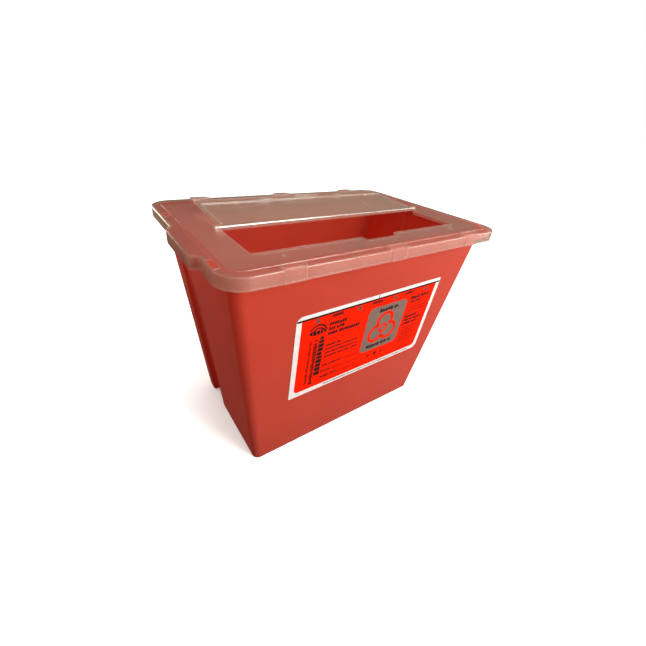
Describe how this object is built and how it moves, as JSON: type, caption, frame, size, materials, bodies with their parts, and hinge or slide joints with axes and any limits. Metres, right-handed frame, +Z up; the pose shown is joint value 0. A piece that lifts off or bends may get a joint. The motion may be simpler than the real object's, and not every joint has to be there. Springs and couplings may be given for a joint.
{
  "type": "sharps container",
  "caption": "Tapered red tub with a translucent push-fit lid, a wide drop opening, a hinged flap door lying open on the lid, and a front label.",
  "frame": {"origin": "middle of the tub's base, on the surface that it stands on", "axes": "+X along the container, -Y towards the front with the label, +Z up"},
  "size_m": [0.295, 0.1958, 0.229],
  "materials": {
    "red_polypropylene": "satin moulded polypropylene",
    "natural_polypropylene": "translucent natural polypropylene, satin",
    "label_film": "satin printed self-adhesive film"
  },
  "bodies": {
    "container": {"tub": "red_polypropylene", "lid": "natural_polypropylene", "front_label": "label_film"},
    "door": {"door": "natural_polypropylene"}
  },
  "joints": [
    {"name": "door_hinge", "type": "hinge", "parent": "container", "child": "door", "pos_m": [0, -0.008, 0.2215], "axis": [1, 0, 0], "range_deg": [0, 176]}
  ]
}
